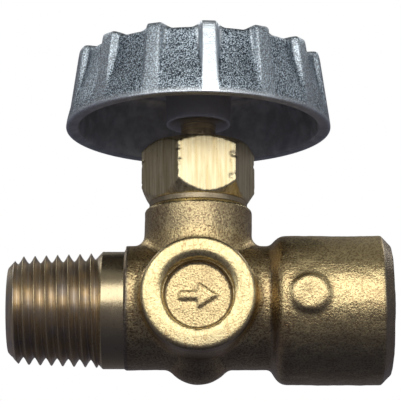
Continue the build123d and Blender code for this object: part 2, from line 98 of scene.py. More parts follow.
def add_light(name, azimuth, elevation, distance, width, height, radiance, colour=(1.0, 1.0, 1.0)):
    """A soft rectangle that faces the valve. Azimuth 0 is in front and 90 on the +X side, in degrees."""
    aim_height = 8
    a = math.radians(azimuth)
    e = math.radians(elevation)
    toward = Vector((math.sin(a) * math.cos(e), -math.cos(a) * math.cos(e), math.sin(e)))
    data = bpy.data.lights.new(name, "AREA")
    data.shape = "RECTANGLE"
    data.size = width * MM
    data.size_y = height * MM
    data.energy = radiance * math.pi * width * height * MM * MM
    data.color = colour
    light = bpy.data.objects.new(name, data)
    light.location = (Vector((stem_x, 0, aim_height)) + toward * distance) * MM
    light.rotation_mode = "QUATERNION"
    light.rotation_quaternion = toward.to_track_quat("Z", "Y")
    light.visible_camera = False
    bpy.context.scene.collection.objects.link(light)


def add_overhead():
    """Lights the floor and anything matt from straight above; the metal doesn't mirror it."""
    data = bpy.data.lights.new("overhead", "SUN")
    data.energy = 2.6
    data.angle = math.radians(40)
    light = bpy.data.objects.new("overhead", data)
    light.visible_glossy = False
    light.visible_camera = False
    bpy.context.scene.collection.objects.link(light)


def add_lights():
    """A broad light in front, a narrow cool one on each side, and two high ones behind."""
    warm = (1.0, 0.99, 0.97)
    cool = (0.93, 0.98, 1.0)
    add_light("key", 1, 21, distance=320, width=425, height=190, radiance=1.95, colour=warm)
    add_light("left", -50, 16, distance=320, width=110, height=220, radiance=0.66, colour=cool)
    add_light("right", 61, 16, distance=320, width=90, height=220, radiance=0.62, colour=cool)
    add_light("back_left", -128, 44, distance=360, width=180, height=120, radiance=1.5)
    add_light("back_right", 128, 44, distance=360, width=180, height=120, radiance=1.5)
    add_overhead()


def add_world():
    """White behind the valve; what the metal mirrors is a dim room, bluest and darkest below."""
    # The room's colour at places from straight below, 0, to straight above, 1.
    levels = (
        (0.0, (0.034, 0.037, 0.058)), (0.15, (0.064, 0.064, 0.084)), (0.36, (0.122, 0.118, 0.145)),
        (0.5, (0.132, 0.130, 0.158)), (0.72, (0.155, 0.155, 0.168)), (0.86, (0.21, 0.21, 0.21)),
        (0.93, (0.19, 0.19, 0.19)), (1.0, (0.17, 0.17, 0.17)),
    )
    world = bpy.data.worlds.new("studio")
    bpy.context.scene.world = world
    world.use_nodes = True
    tree = world.node_tree
    tree.nodes.clear()
    out = tree.nodes.new("ShaderNodeOutputWorld")
    mix = tree.nodes.new("ShaderNodeMixShader")
    path = tree.nodes.new("ShaderNodeLightPath")
    seen = tree.nodes.new("ShaderNodeBackground")
    seen.inputs["Color"].default_value = (1, 1, 1, 1)
    room = tree.nodes.new("ShaderNodeBackground")
    coords = tree.nodes.new("ShaderNodeTexCoord")
    split = tree.nodes.new("ShaderNodeSeparateXYZ")
    ramp = tree.nodes.new("ShaderNodeValToRGB")
    spread = tree.nodes.new("ShaderNodeMapRange")
    spread.inputs["From Min"].default_value = -1
    stops = ramp.color_ramp.elements
    for stop, (at, colour) in zip([stops[0], stops[1]], (levels[0], levels[-1])):
        stop.position = at
        stop.color = (*colour, 1)
    for at, colour in levels[1:-1]:
        stops.new(at).color = (*colour, 1)
    tree.links.new(coords.outputs["Generated"], split.inputs[0])
    tree.links.new(split.outputs["Z"], spread.inputs["Value"])
    tree.links.new(spread.outputs["Result"], ramp.inputs["Fac"])
    tree.links.new(ramp.outputs["Color"], room.inputs["Color"])
    tree.links.new(path.outputs["Is Camera Ray"], mix.inputs["Fac"])
    tree.links.new(room.outputs[0], mix.inputs[1])
    tree.links.new(seen.outputs[0], mix.inputs[2])
    tree.links.new(mix.outputs[0], out.inputs["Surface"])


def add_floor():
    """A plain pale floor well below the valve, out of the metal's reflections."""
    drop = 72.0
    half = 3000.0
    mesh = bpy.data.meshes.new("floor")
    corners = [(-half, -half), (half, -half), (half, half), (-half, half)]
    mesh.from_pydata([(x * MM, y * MM, -drop * MM) for x, y in corners], [], [(0, 1, 2, 3)])
    floor = bpy.data.objects.new("floor", mesh)
    bpy.context.scene.collection.objects.link(floor)
    floor.visible_glossy = False
    floor.visible_diffuse = False
    material = bpy.data.materials.new("floor")
    material.use_nodes = True
    paint = material.node_tree.nodes["Principled BSDF"]
    paint.inputs["Base Color"].default_value = (0.82, 0.82, 0.81, 1)
    paint.inputs["Roughness"].default_value = 0.9
    mesh.materials.append(material)


# ---- materials --------------------------------------------------------------------------------
class Paint:
    """A material's node tree, with short ways to add to it."""

    def __init__(self, name, metallic=1.0):
        self.material = bpy.data.materials.new(name)
        self.material.use_nodes = True
        self.tree = self.material.node_tree
        self.shader = self.tree.nodes["Principled BSDF"]
        self.shader.inputs["Metallic"].default_value = metallic
        self.place = self.tree.nodes.new("ShaderNodeTexCoord").outputs["Object"]

    def link(self, value, socket):
        """Feeds a socket with a number, or with another node's output."""
        if hasattr(value, "links"):
            self.tree.links.new(value, socket)
        else:
            socket.default_value = value

    def noise(self, grain_mm, stretch=(1, 1, 1), detail=2.0, roughness=0.5):
        """Noise from 0 to 1 with grains of about grain_mm, longer along an axis where stretch is over 1."""
        mapping = self.tree.nodes.new("ShaderNodeMapping")
        mapping.inputs["Scale"].default_value = [1 / s for s in stretch]
        self.tree.links.new(self.place, mapping.inputs["Vector"])
        texture = self.tree.nodes.new("ShaderNodeTexNoise")
        texture.inputs["Scale"].default_value = 1 / (grain_mm * MM)
        texture.inputs["Detail"].default_value = detail
        texture.inputs["Roughness"].default_value = roughness
        self.tree.links.new(mapping.outputs["Vector"], texture.inputs["Vector"])
        return texture.outputs["Fac"]

    def attribute(self, name):
        """A mask that the mesh carries."""
        node = self.tree.nodes.new("ShaderNodeAttribute")
        node.attribute_name = name
        return node.outputs["Fac"]

    def range(self, value, low, high, to_low=0.0, to_high=1.0):
        """value from low..high mapped to to_low..to_high, and held there outside."""
        node = self.tree.nodes.new("ShaderNodeMapRange")
        self.link(value, node.inputs["Value"])
        for name, number in (("From Min", low), ("From Max", high), ("To Min", to_low), ("To Max", to_high)):
            self.link(number, node.inputs[name])
        return node.outputs["Result"]

    def between(self, mask, at_none, at_full):
        """at_none where the mask is 0, at_full where it is 1."""
        return self.range(mask, 0, 1, at_none, at_full)

    def math(self, operation, a, b):
        node = self.tree.nodes.new("ShaderNodeMath")
        node.operation = operation
        self.link(a, node.inputs[0])
        self.link(b, node.inputs[1])
        return node.outputs[0]

    def times(self, a, b):
        return self.math("MULTIPLY", a, b)

    def mix(self, factor, a, b):
        """Colour a where factor is 0, b where it is 1."""
        node = self.tree.nodes.new("ShaderNodeMix")
        node.data_type = "RGBA"
        self.link(factor, node.inputs["Factor"])
        for colour, socket in ((a, node.inputs[6]), (b, node.inputs[7])):
            self.link(colour if hasattr(colour, "links") else (*colour, 1), socket)
        return node.outputs[2]

    def bump(self, height, depth_mm, below=None, strength=1.0):
        """A normal that follows height, on top of the one below."""
        node = self.tree.nodes.new("ShaderNodeBump")
        self.link(strength, node.inputs["Strength"])
        node.inputs["Distance"].default_value = depth_mm * MM
        self.link(height, node.inputs["Height"])
        if below is not None:
            self.tree.links.new(below, node.inputs["Normal"])
        return node.outputs["Normal"]

    def finish(self, colour, roughness, normal):
        for value, name in ((colour, "Base Color"), (roughness, "Roughness"), (normal, "Normal")):
            self.tree.links.new(value, self.shader.inputs[name])
        return self.material


def forged_colour(paint, worn, smooth, grain):
    """The forged skin's colour, one layer over another: stains, grain, pits, scratches and dirt, with painted
    shade darkening its hollows and painted shade, grey-brown, low down, on the flare and on the recess wall.
    """
    straw, honey, bright = (0.74, 0.57, 0.29), (0.98, 0.79, 0.40), (1.0, 0.84, 0.44)
    low_brown, blotch_brown, scratch_brown = (0.34, 0.20, 0.10), (0.38, 0.25, 0.13), (0.45, 0.28, 0.12)
    # The hollows' black serves both as dirt and as painted shade.
    pit_black, crack_black, dirt_and_shade_black = (0.14, 0.09, 0.05), (0.13, 0.08, 0.05), (0.17, 0.11, 0.06)
    # The grey-brown tone is painted shade low down and in some corners, and grey brass elsewhere.
    grey_and_shade_tone = (0.25, 0.215, 0.185)
    stain = paint.noise(5, detail=4, roughness=0.6)
    specks = paint.noise(0.62, detail=3, roughness=0.7)
    blotches = paint.noise(1.9, stretch=(2.2, 1, 1), detail=4, roughness=0.7)
    scratches = paint.noise(1.1, stretch=(1, 1, 3), detail=2, roughness=0.5)

    colour = paint.mix(paint.range(stain, 0.35, 0.65), straw, honey)
    colour = paint.mix(paint.between(smooth, 0.0, 0.9), colour, bright)
    low_grain = paint.times(paint.range(grain, 0.40, 0.53, 1.0, 0.0), paint.between(smooth, 0.85, 0.34))
    colour = paint.mix(low_grain, colour, low_brown)
    spotted = paint.times(paint.range(specks, 0.24, 0.33, 0.65, 0.0), paint.between(smooth, 1.0, 0.4))
    colour = paint.mix(spotted, colour, pit_black)
    cracked = paint.times(paint.range(specks, 0.36, 0.43, 0.5, 0.0), paint.attribute("pitted"))
    colour = paint.mix(cracked, colour, crack_black)
    # Dirt and painted shade: the hollows are darkened, by an amount that varies with the stains.
    dirt_and_painted_shade = paint.times(paint.attribute("hollow_shade_and_dirt"), paint.range(stain, 0.35, 0.65, 0.15, 0.7))
    colour = paint.mix(dirt_and_painted_shade, colour, dirt_and_shade_black)
    blotched = paint.times(paint.range(blotches, 0.50, 0.68, 0.0, 0.5), paint.between(smooth, 1.0, 0.35))
    colour = paint.mix(blotched, colour, blotch_brown)
    # Painted shade: grey-brown low down, on the flare and on the recess wall; grey elsewhere where the mask
    # says.
    colour = paint.mix(paint.times(paint.attribute("grey_and_painted_shade"), 0.8), colour, grey_and_shade_tone)
    from_scratch = paint.math("ABSOLUTE", paint.math("SUBTRACT", scratches, 0.5), 0)
    scratched = paint.times(paint.range(from_scratch, 0, 0.028, 0.6, 0.0), worn)
    return paint.mix(scratched, colour, scratch_brown)


def forged_brass():
    """Tumbled forged skin: pitted and grainy, smoother where it is worn or machined, finely scratched
    where it is worn, dark with dirt and painted shade in its hollows, and greyer and darker where shade is
    painted low down and in some corners, or where the brass is greyed."""
    paint = Paint("forged_brass")
    machined = paint.attribute("machined")
    worn = paint.attribute("worn")
    smooth = paint.math("MAXIMUM", machined, worn)
    grain = paint.noise(0.235, detail=2, roughness=0.6)
    coarse = paint.noise(1.1, detail=3)
    colour = forged_colour(paint, worn, smooth, grain)
    normal = paint.bump(grain, 0.078, strength=paint.between(smooth, 1.0, 0.45))
    normal = paint.bump(coarse, 0.06, below=normal, strength=paint.between(smooth, 0.8, 0.15))
    rough = paint.range(coarse, 0.3, 0.7, 0.27, 0.37)
    rough = paint.math("SUBTRACT", rough, paint.times(machined, 0.04))
    return paint.finish(colour, rough, normal)


def turned_brass(name, axis, tarnish):
    """Machined brass, with fine tool marks round the given axis; tarnished except where it is clean."""
    yellow, clean_yellow = (0.95, 0.73, 0.38), (0.67, 0.55, 0.33)
    dull_grey, mark_brown, speck_black = (0.52, 0.50, 0.50), (0.38, 0.31, 0.25), (0.15, 0.10, 0.07)
    paint = Paint(name)
    clean = paint.attribute("clean")
    across = [40.0, 40.0, 40.0]
    across["XYZ".index(axis)] = 1.0
    lines = paint.noise(0.13, stretch=across, detail=2)
    stain = paint.noise(2.2, detail=4, roughness=0.65)
    speck = paint.noise(0.4, detail=3)
    dull = paint.range(stain, 0.35, 0.65, tarnish * 0.6, tarnish * 1.5)
    dull = paint.times(dull, paint.between(clean, 1.0, 0.05))
    colour = paint.mix(dull, paint.mix(clean, yellow, clean_yellow), dull_grey)
    marks = paint.times(paint.range(lines, 0.38, 0.62), paint.between(clean, 0.55, 0.12))
    colour = paint.mix(marks, colour, mark_brown)
    colour = paint.mix(paint.range(speck, 0.26, 0.34, 0.6, 0.0), colour, speck_black)
    normal = paint.bump(lines, 0.02, strength=paint.between(clean, 1.0, 0.3))
    normal = paint.bump(speck, 0.012, below=normal)
    rough = paint.range(stain, 0.3, 0.7, 0.28, 0.38)
    rough = paint.math("SUBTRACT", rough, paint.times(clean, 0.08))
    return paint.finish(colour, rough, normal)


def milled_brass():
    """The bonnet's flats: bright, with upright tool marks and a few knocks."""
    dark, light = (0.58, 0.47, 0.25), (0.90, 0.80, 0.52)
    cloud_brown, knock_black = (0.55, 0.40, 0.22), (0.20, 0.13, 0.08)
    paint = Paint("milled_brass")
    streak = paint.noise(0.3, stretch=(1, 1, 22), detail=3)
    knocks = paint.noise(0.5, stretch=(1, 1, 1.6), detail=4, roughness=0.7)
    cloud = paint.noise(3, detail=3)
    colour = paint.mix(paint.range(streak, 0.35, 0.66), dark, light)
    colour = paint.mix(paint.range(cloud, 0.45, 0.8, 0.0, 0.4), colour, cloud_brown)
    colour = paint.mix(paint.range(knocks, 0.26, 0.36, 0.8, 0.0), colour, knock_black)
    normal = paint.bump(streak, 0.02)
    normal = paint.bump(knocks, 0.03, below=normal)
    rough = paint.range(streak, 0.3, 0.7, 0.27, 0.38)
    return paint.finish(colour, rough, normal)


def cast_zinc():
    """Die-cast zinc: sparkling rough panels, ribs worn smooth and painted white as a highlight, whitest on
    the rib in front, a lip painted bright as a highlight, and a dull grey inside with painted light on the
    hub.
    """
    low_zinc, high_zinc = (0.055, 0.072, 0.090), (0.74, 0.86, 0.95)
    rib_wear_and_highlight_white, edge_highlight_white, dent_grey = (0.86, 0.94, 0.99), (0.86, 0.90, 0.93), (0.25, 0.27, 0.29)
    inside_dark, inside_light, hub_painted_light_grey = (0.46, 0.47, 0.48), (0.64, 0.66, 0.67), (0.62, 0.62, 0.63)
    paint = Paint("cast_zinc")
    rib = paint.attribute("rib")
    inside = paint.attribute("inside")
    edge = paint.attribute("edge")
    sparkle = paint.noise(0.17, detail=2, roughness=0.6)
    soft = paint.noise(1.8, detail=4, roughness=0.6)
    dents = paint.noise(0.8, detail=3, roughness=0.7)
    colour = paint.mix(paint.range(sparkle, 0.45, 0.59), low_zinc, high_zinc)
    # Painted highlight: the rib crests turn white, fully on the rib in front and partly on the others, where
    # it is also wear.
    colour = paint.mix(rib, colour, rib_wear_and_highlight_white)
    colour = paint.mix(paint.range(dents, 0.28, 0.34, 0.6, 0.0), colour, dent_grey)
    # Painted highlight: the lip's edge turns white, where it is also wear.
    colour = paint.mix(paint.times(edge, 0.7), colour, edge_highlight_white)
    colour = paint.mix(inside, colour, paint.mix(paint.range(soft, 0.4, 0.65), inside_dark, inside_light))
    # Painted light: the hub and its well, shaded inside the cup, get a lighter grey.
    colour = paint.mix(paint.attribute("hub_painted_light"), colour, hub_painted_light_grey)
    polished = paint.math("MAXIMUM", rib, paint.times(edge, 0.5))
    skin_strength = paint.between(polished, paint.between(inside, 1.0, 0.1), 0.3)
    normal = paint.bump(sparkle, 0.082, strength=skin_strength)
    normal = paint.bump(soft, 0.05, below=normal)
    rough = paint.math("ADD", paint.between(rib, 0.34, 0.28), paint.times(inside, 0.2))
    return paint.finish(colour, rough, normal)


def plain_metal(name, colour, roughness, grain_mm=0.3, depth_mm=0.01):
    """A small metal piece with a faint grain and a little uneven colour."""
    paint = Paint(name)
    grain = paint.noise(grain_mm, detail=3)
    cloud = paint.noise(2.5, detail=3)
    dark = [c * 0.55 for c in colour]
    tone = paint.mix(paint.range(cloud, 0.35, 0.7), colour, dark)
    rough = paint.range(grain, 0.3, 0.7, roughness * 0.8, roughness * 1.2)
    return paint.finish(tone, rough, paint.bump(grain, depth_mm))


def seal_rubber():
    """Black nitrile rubber, matt, with a faint grain."""
    paint = Paint("seal_rubber", metallic=0.0)
    grain = paint.noise(0.25, detail=3)
    colour = paint.mix(grain, (0.012, 0.012, 0.012), (0.03, 0.03, 0.03))
    return paint.finish(colour, paint.range(grain, 0.3, 0.7, 0.5, 0.65), paint.bump(grain, 0.01))


# ---- meshes -----------------------------------------------------------------------------------
def mesh_from(name, points_mm, faces, masks):
    """A mesh from points, faces and the masks that its material reads, as rows of values in points' order."""
    mesh = bpy.data.meshes.new(name)
    mesh.from_pydata([(x * MM, y * MM, z * MM) for x, y, z in points_mm], [], faces)
    mesh.update()
    for mask, rows in masks.items():
        set_attribute(mesh, mask, np.concatenate(rows))
    return mesh


def set_attribute(mesh, name, values):
    layer = mesh.attributes.new(name, "FLOAT", "POINT")
    layer.data.foreach_set("value", np.asarray(values, dtype=np.float32))


def read_vectors(mesh, name):
    """Every vertex's co or normal, one row each."""
    values = np.empty(len(mesh.vertices) * 3)
    mesh.vertices.foreach_get(name, values)
    return values.reshape(-1, 3)


def add_piece(name, mesh, body, material, stands_for=()):
    """A finished mesh as a piece that rides on a CAD body."""
    piece = bpy.data.objects.new(name, mesh)
    bpy.context.scene.collection.objects.link(piece)
    mesh.materials.append(material)
    mesh.shade_smooth()
    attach(piece, body)
    if stands_for:
        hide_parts(*stands_for)


def smoothstep(low, high, value):
    """0 up to low, 1 from high on, with a soft step between them."""
    t = np.clip((value - low) / (high - low), 0, 1)
    return t * t * (3 - 2 * t)


def fade_out(low, high, value):
    """1 up to low, 0 from high on, with a soft step between them."""
    return 1 - smoothstep(low, high, value)


def angles_around(columns):
    """That many angles, spread evenly round a circle."""
    return np.arange(columns) * 2 * math.pi / columns


def turned_faces(rows, columns):
    """Quads of a grid of points that closes on itself both ways."""
    faces = []
    for i in range(rows):
        for j in range(columns):
            after = (j + 1) % columns
            below = (i + 1) % rows
            faces.append((i * columns + j, i * columns + after, below * columns + after, below * columns + j))
    return faces


def smoothed(outline, rounds=3):
    """The closed outline with its corners cut, Chaikin's way."""
    points = [Vector(p) for p in outline]
    for _ in range(rounds):
        cut = []
        for a, b in zip(points, points[1:] + points[:1]):
            cut.append(a * 0.75 + b * 0.25)
            cut.append(a * 0.25 + b * 0.75)
        points = cut
    return points


def remeshed(source, voxel_mm):
    """A copy of a mesh rebuilt in even faces, in millimetres."""
    same_place = 1e-6
    mesh = source.copy()
    work = bmesh.new()
    work.from_mesh(mesh)
    bmesh.ops.remove_doubles(work, verts=work.verts, dist=same_place)
    bmesh.ops.scale(work, vec=(1 / MM, 1 / MM, 1 / MM), verts=work.verts)
    work.to_mesh(mesh)
    work.free()
    holder = bpy.data.objects.new("remesh", mesh)
    bpy.context.scene.collection.objects.link(holder)
    remesh = holder.modifiers.new("remesh", "REMESH")
    remesh.mode = "VOXEL"
    remesh.voxel_size = voxel_mm
    graph = bpy.context.evaluated_depsgraph_get()
    result = bpy.data.meshes.new_from_object(holder.evaluated_get(graph))
    bpy.data.objects.remove(holder)
    return result


# ---- handwheel --------------------------------------------------------------------------------
def wheel_outline(share):
    """Half section of the wheel through a panel (share 0) or a rib (share 1).

    Each point is radius, height, 1 where it is inside the cup, and 1 where the edge is worn smooth and
    painted bright as a highlight.
    """
    bore_r, hub_r, well_r, boss_r, face_r = 2.25, 4.2, 6.4, 7.9, 11.5
    draft, panel_depth = 0.14, 0.85
    upper_side, mid_side = 30.5, 28
    rim = wheel_low.z
    lip = (wheel_high.x - wheel_low.x) / 2
    face = wheel_high.z - 0.12
    top = wheel_high.z + 0.12 - 0.6 * (1 - share)
    plate = wheel_high.z - 1.7
    well = wheel_high.z - 2.12
    ledge = well - 1.7
    hub = rim + 0.5

    def outside(z):
        recess = panel_depth * float(smoothstep(rim + 0.2, rim + 7.5, z))
        return lip - 0.04 - draft * (z - rim - 0.4) - recess * (1 - share)

    top_face = [
        (bore_r, well), (bore_r, well), (well_r, well), (well_r, well), (well_r, face), (well_r + 0.2, face),
        (face_r, face),
    ]
    crown = [(outside(top) - 2.6, top - 0.02), (outside(top) - 0.75, top), (outside(top) - 0.2, top - 0.08)]
    side_heights = [top - 0.45, upper_side, mid_side, rim + 3, rim + 2.2, rim + 1.4, rim + 0.8]
    side = [(outside(z), z) for z in side_heights]
    edge = [(lip - 0.02, rim + 0.2), (lip - 0.05, rim + 0.04), (lip - 0.12, rim - 0.01)]
    under = [
        (lip - 0.6, rim - 0.02), (lip - 1.45, rim), (lip - 1.6, rim + 0.25), (lip - 2.1, rim + 3.5),
        (lip - 2.9, plate - 0.9), (lip - 3.6, plate), (lip - 5, plate), (boss_r + 0.5, plate),
        (boss_r, plate - 0.4), (boss_r, ledge + 0.2), (boss_r - 0.5, ledge), (hub_r + 0.5, ledge),
        (hub_r, ledge - 0.5), (hub_r, hub + 0.4), (hub_r - 0.3, hub), (bore_r, hub), (bore_r, hub),
    ]
    marked = [(r, z, 0, 0) for r, z in top_face + crown + side] + [(r, z, 0, 1) for r, z in edge]
    return marked + [(r, z, 1, 0) for r, z in under]


def make_wheel():
    """The ribbed cup: its section changes between panel and rib round the wheel."""
    ribs = 14
    columns = ribs * 40
    front_rib = math.radians(-85)
    half_crest, rib_side, rib_shoulder = 0.86, 0.62, 1.7
    # Painted highlight: the rib in front gets the full white, the others a share of it as crest wear.
    front_rib_highlight, rib_crest_wear = 1.0, 0.30
    ribbed_from_r = 11
    hub_and_well_r = 8.2
    pitch = 2 * math.pi / ribs
    turn = angles_around(columns)
    from_rib = np.abs((turn - front_rib + pitch / 2) % pitch - pitch / 2) * wheel_high.y
    at_front = np.abs((turn - front_rib + math.pi) % (2 * math.pi) - math.pi) < pitch / 2
    rib_wear_and_highlight = np.where(at_front, front_rib_highlight, rib_crest_wear)
    share = fade_out(half_crest, half_crest + rib_side, from_rib)
    shoulder = fade_out(half_crest - 0.1, half_crest + rib_shoulder, from_rib)

    panel = smoothed(wheel_outline(0.0))
    rib = smoothed(wheel_outline(1.0))
    points = []
    masks = {"rib": [], "inside": [], "hub_painted_light": [], "edge": []}
    for p, q in zip(panel, rib):
        radius = p[0] + (q[0] - p[0]) * share
        height = p[1] + (q[1] - p[1]) * shoulder
        for k in range(columns):
            points.append((stem_x + radius[k] * math.cos(turn[k]), radius[k] * math.sin(turn[k]), height[k]))
        # The edge mask is wear and a painted highlight along the lip.
        inside, edge_wear_and_highlight = p[2], p[3]
        on_side = inside < 0.5 and q[0] > ribbed_from_r
        spread = 0.2 + 0.75 * float(smoothstep(wheel_low.z + 3, wheel_high.z - 0.5, q[1]))
        # Painted highlight along the rib crests, tapering downward like the light's streaks, partly wear.
        rib_wear_and_painted_highlight = rib_wear_and_highlight * fade_out(half_crest + spread * 0.5, half_crest + spread * 1.3, from_rib)
        masks["rib"].append(rib_wear_and_painted_highlight if on_side else np.zeros(columns))
        masks["inside"].append(np.full(columns, inside))
        # Painted light on the hub and its well inside the cup.
        masks["hub_painted_light"].append(np.full(columns, 0.8 * inside * (q[0] < hub_and_well_r)))
        masks["edge"].append(np.full(columns, edge_wear_and_highlight))
    return mesh_from("handwheel_casting", points, turned_faces(len(panel), columns), masks)


# ---- male thread and shank --------------------------------------------------------------------
def thread_radius(x, turn, start, end, shank_r):
    """The helical taper thread's radius at x, and how far each point is from the crest, 0 to 1."""
    pitch = 25.4 / 18
    depth = 0.98
    crest_at_origin, taper = 6.95, 0.044
    start_turn = 0.08
    crest_flat = 0.05
    nose_r, nose_slope = 5.35, 1.1
    runout_slope = 1.05
    phase = (x / pitch - turn / (2 * math.pi) + start_turn) % 1
    away = np.clip((0.5 - np.abs(phase - 0.5)) * 2 - crest_flat, 0, 1)
    radius = crest_at_origin + taper * x - depth * (0.45 * away + 0.55 * np.sin(away * math.pi / 2))
    radius = np.minimum(radius, nose_r + (x - start) * nose_slope)
    runout = shank_r - (end - x) * runout_slope
    return np.maximum(radius, runout), away


def make_threaded_end():
    """The turned end of the body: a taper thread cut as a helix, its shank and the inlet bore."""
    start = body_low.x
    thread_end = start + THREAD_LENGTH
    shank_end = thread_end + SHANK_LENGTH
    shank_r = 7.36
    bore_r = 2.8
    chamfer = 0.25
    row_step = 0.055
    crest_band, crest_shine = 0.07, 0.9
    columns = 200
    turn = angles_around(columns)
    rows = []
    crests = []
    for x in np.arange(start, thread_end, row_step):
        radius, away = thread_radius(x, turn, start, thread_end, shank_r)
        rows.append((x, radius))
        crests.append(crest_shine * (away < crest_band))
    plain = [(thread_end + along, shank_r) for along in (0.0, 0.03, 0.1, 1.0, 2.0, 2.9, 2.97)]
    plain += [(shank_end, shank_r), (shank_end, shank_r - 0.05), (shank_end, bore_r)]
    plain += [(start + chamfer, bore_r), (start, bore_r + chamfer)]
    for x, radius in plain:
        rows.append((x, np.full(columns, radius)))
        crests.append(np.zeros(columns))
    points = []
    clean = []
    for (x, radius), crest in zip(rows, crests):
        for k in range(columns):
            points.append((x, radius[k] * math.cos(turn[k]), radius[k] * math.sin(turn[k])))
        clean.append(np.maximum(crest, float(smoothstep(thread_end - 0.6, thread_end, x))))
    return mesh_from("threaded_end", points, turned_faces(len(rows), columns), {"clean": clean})


# ---- forged body ------------------------------------------------------------------------------
class Skin:
    """The forging's points in millimetres, and how far each one starts from the body's axes."""

    voxel = 0.2  # about how wide a face is
    button_x, button_z = 13.7, 0.35  # the button's middle; x is from the stem

    def __init__(self):
        self.mesh = remeshed(nodes["valve_body"].data, self.voxel)
        self.points = read_vectors(self.mesh, "co")
        self.normals = read_vectors(self.mesh, "normal")
        self.x, self.y, self.z = self.points.T  # views, so they follow the points as those move
        self.about_flow = np.hypot(self.y, self.z)
        self.about_stem = np.hypot(self.x - stem_x, self.y)
        self.about_boss = np.hypot(self.x - stem_x, self.z)
        self.about_button = np.hypot(self.x - stem_x - self.button_x, self.z - self.button_z)
        edges = np.empty(len(self.mesh.edges) * 2, dtype=np.int64)
        self.mesh.edges.foreach_get("vertices", edges)
        self.ends = edges.reshape(-1, 2).T
        self.neighbours = sum(np.bincount(end, minlength=len(self.points)) for end in self.ends)

    def averaged(self, values):
        """For each point, the mean of its neighbours' values."""
        a, b = self.ends
        total = np.bincount(a, values[b], len(values)) + np.bincount(b, values[a], len(values))
        return total / self.neighbours

    def averaged_points(self):
        return np.stack([self.averaged(self.points[:, k]) for k in range(3)], axis=1)

    def smooth(self, chosen, rounds):
        """Moves the chosen points to the middle of their neighbours, again and again."""
        for _ in range(rounds):
            self.points[chosen] = self.averaged_points()[chosen]


def square_boss_corner(skin):
    """Swells the boss's rounded outer corner towards a square one."""
    corner_r, flat_r, outer_r = 1.1, 5.97, 7.2
    corner = (skin.about_boss > flat_r) & (skin.y < BOSS_FACE + corner_r) & (skin.about_boss < outer_r)
    out = np.where(corner, skin.about_boss - flat_r, 1)
    up = np.where(corner, BOSS_FACE + corner_r - skin.y, 1)
    swell = corner_r / np.maximum((out ** 4 + up ** 4) ** 0.25, TINY)
    wider = (flat_r + out * swell) / np.maximum(skin.about_boss, TINY)
    skin.points[corner, 0] = stem_x + ((skin.x - stem_x) * wider)[corner]
    skin.points[corner, 2] = (skin.z * wider)[corner]
    skin.points[corner, 1] = (BOSS_FACE + corner_r - up * swell)[corner]


def round_recess(skin):
    """Rounds the edge of the boss's recess, most at its top, and lowers the arrow on its floor."""
    sink, arrow_sink = 0.6, 0.4
    recess_floor = BOSS_FACE + RECESS_DEPTH
    upper = 0.3 + 0.7 * smoothstep(-0.3, 0.9, skin.z / np.maximum(skin.about_boss, TINY))
    softened = np.clip(5.35 - skin.about_boss, 0, 1)
    rounding = sink * softened ** 1.7 * upper
    on_face = (skin.y < BOSS_FACE + 0.8) & (skin.about_boss > 4.3) & (skin.about_boss < 5.6)
    on_wall = (skin.y < BOSS_FACE + 1.9) & (skin.about_boss <= 4.42) & (skin.about_boss > 4.0)
    skin.points[on_face, 1] += rounding[on_face]
    shorter = 1 - sink * upper / RECESS_DEPTH
    skin.points[on_wall, 1] = (recess_floor + (skin.y - recess_floor) * shorter)[on_wall]
    on_arrow = (skin.about_boss < 3.4) & (skin.y < recess_floor - 0.02) & (skin.y > recess_floor - 0.6)
    skin.points[on_arrow, 1] += (arrow_sink * (recess_floor - skin.y))[on_arrow]


def curve_flare(skin):
    """Gives the step from barrel to socket a curve that eases out. Returns a mask of its points."""
    curve_start, curve_length, flare_end = 9.0, 1.8, 11.0
    barrel_r, barrel_lift, step = 7.8, 0.3, 1.55
    opening = 1 - (1 - np.clip((skin.x - stem_x - curve_start) / curve_length, 0, 1)) ** 2
    lift = barrel_lift * (1 - opening)
    flare = (
        (skin.x > stem_x + BARREL_END) & (skin.x < stem_x + flare_end)
        & (skin.about_flow > 7.2) & (skin.about_button > 2.6)
    )
    widened = (barrel_r + step * opening) / np.hypot(skin.y, skin.z - lift)
    skin.points[flare, 1] = (skin.y * widened)[flare]
    skin.points[flare, 2] = (lift + (skin.z - lift) * widened)[flare]
    return flare


def machined_mask(skin):
    """1 where the forging has been cut: the socket's mouth and bore, the neck's end and bore, the passage."""
    mouth = smoothstep(body_high.x - 1.5, body_high.x - 1.3, skin.x)
    mouth = mouth * (1 - smoothstep(7.4, 8.0, skin.about_flow) * 0.9)
    socket_bore = fade_out(6.8, 6.9, skin.about_flow) * smoothstep(stem_x + 8, stem_x + 8.2, skin.x)
    neck_end = smoothstep(gasket_low.z - 0.75, gasket_low.z - 0.6, skin.z)
    neck_bore = fade_out(5.1, 5.2, skin.about_stem) * smoothstep(2.5, 3.0, skin.z)
    passage = fade_out(2.9, 3.0, skin.about_flow)
    return np.maximum.reduce([mouth, socket_bore, neck_end, neck_bore, passage])


def worn_mask(skin, socket):
    """Up to 1 where tumbling and hands have smoothed the skin."""
    ring = fade_out(6.6, 7.2, skin.about_boss) * smoothstep(3.9, 4.3, skin.about_boss) * (skin.y < -10)
    recess_floor = fade_out(3.9, 4.2, skin.about_boss) * (skin.y < -8) * 0.35
    button = fade_out(1.9, 2.4, skin.about_button) * (skin.y < -9.3) * 0.5
    return np.maximum.reduce([ring, recess_floor, button, socket])


